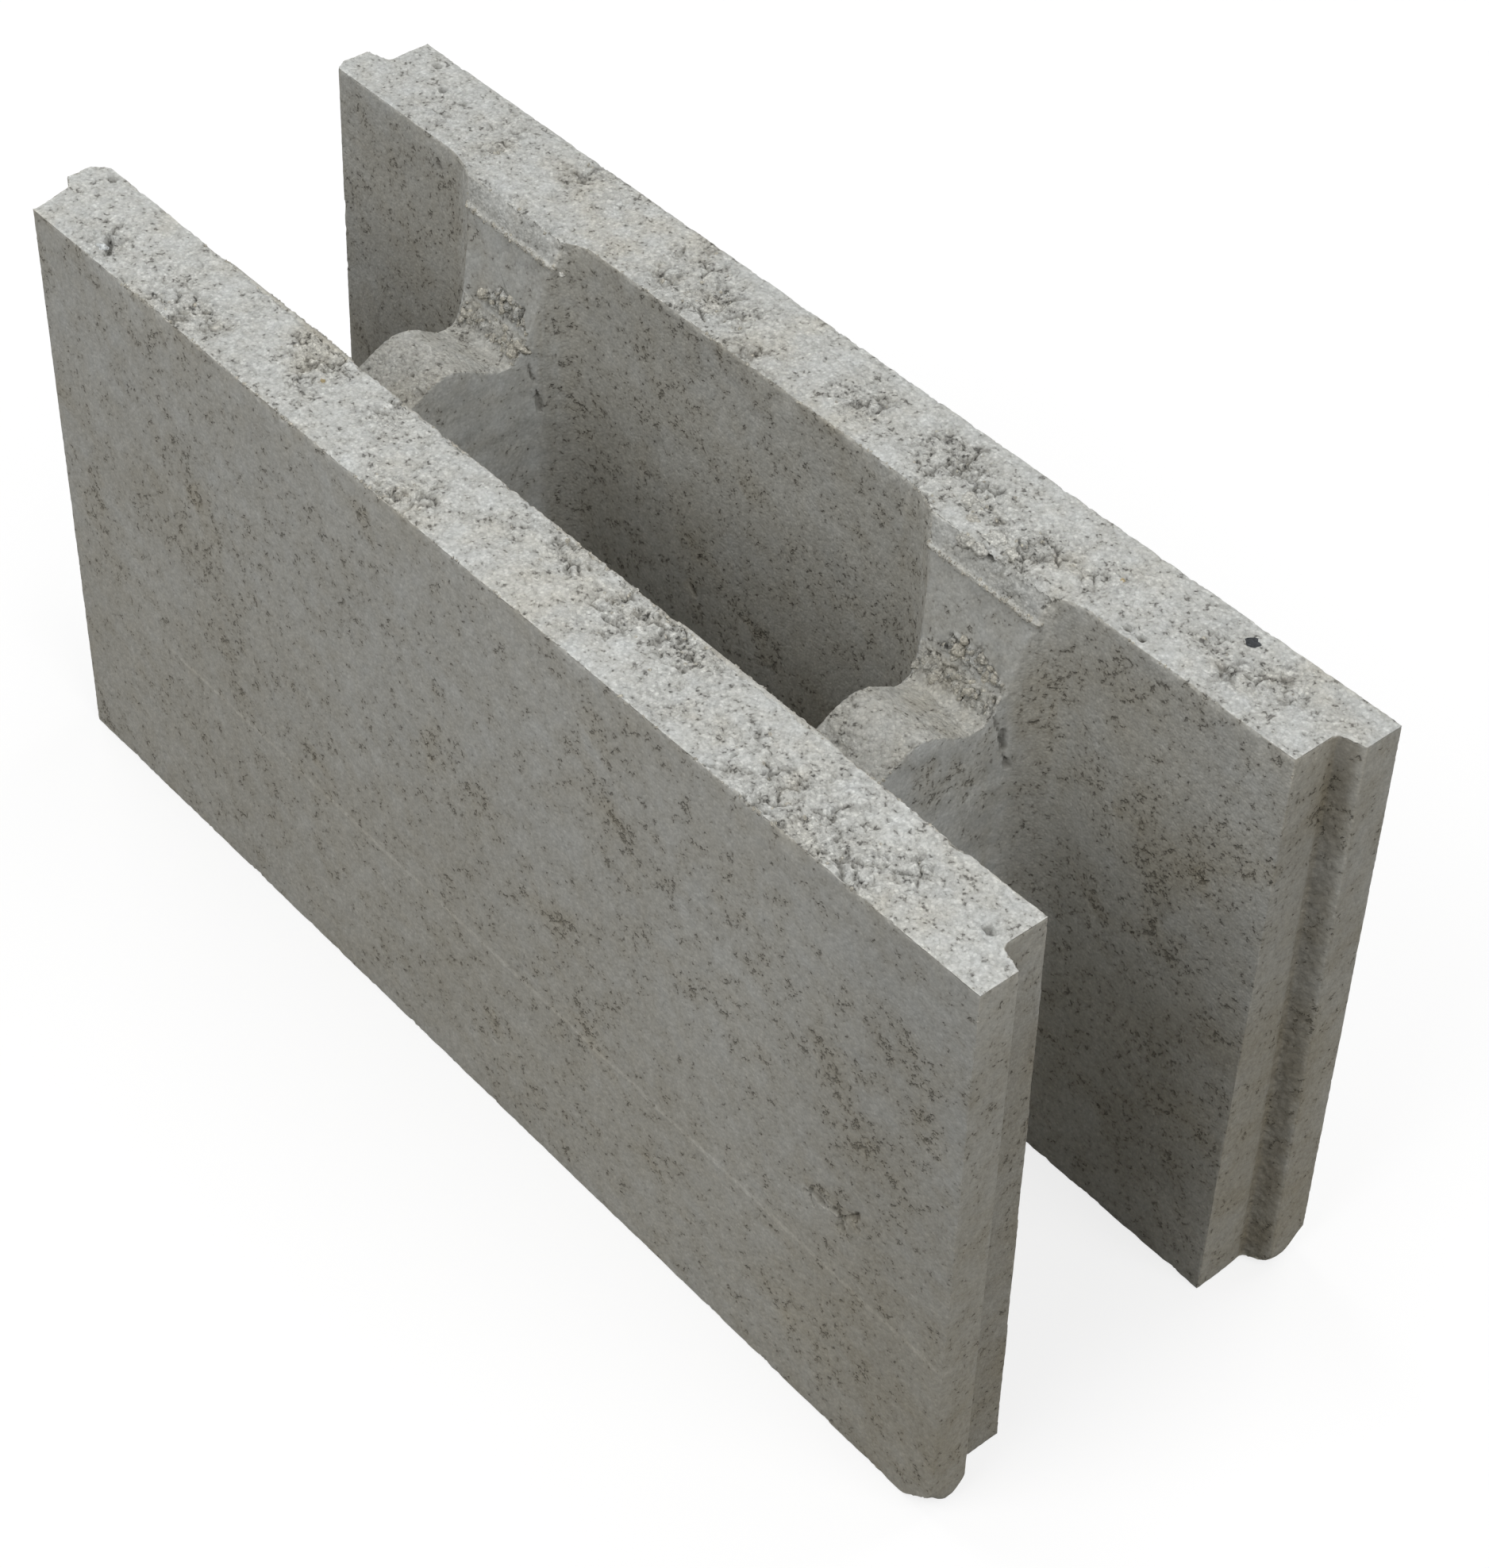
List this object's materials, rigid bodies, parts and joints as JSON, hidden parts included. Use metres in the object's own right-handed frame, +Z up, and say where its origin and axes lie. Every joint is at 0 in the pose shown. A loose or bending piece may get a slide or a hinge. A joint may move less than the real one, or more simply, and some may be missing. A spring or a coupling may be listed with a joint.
{
  "type": "concrete formwork block",
  "caption": "Hollow concrete block of two tall face shells joined by low cross webs, open at both ends, with lapped end faces; laid dry and filled.",
  "frame": {"origin": "middle of the bounding box, at the bottom bed face", "axes": "+X along the wall, towards the end whose outer laps stand out; +Y across the wall; +Z up"},
  "size_m": [0.505, 0.177, 0.25],
  "materials": {
    "concrete": "vibrated dry-mix concrete, rough"
  },
  "bodies": {
    "root": {"block": "concrete"}
  },
  "joints": []
}
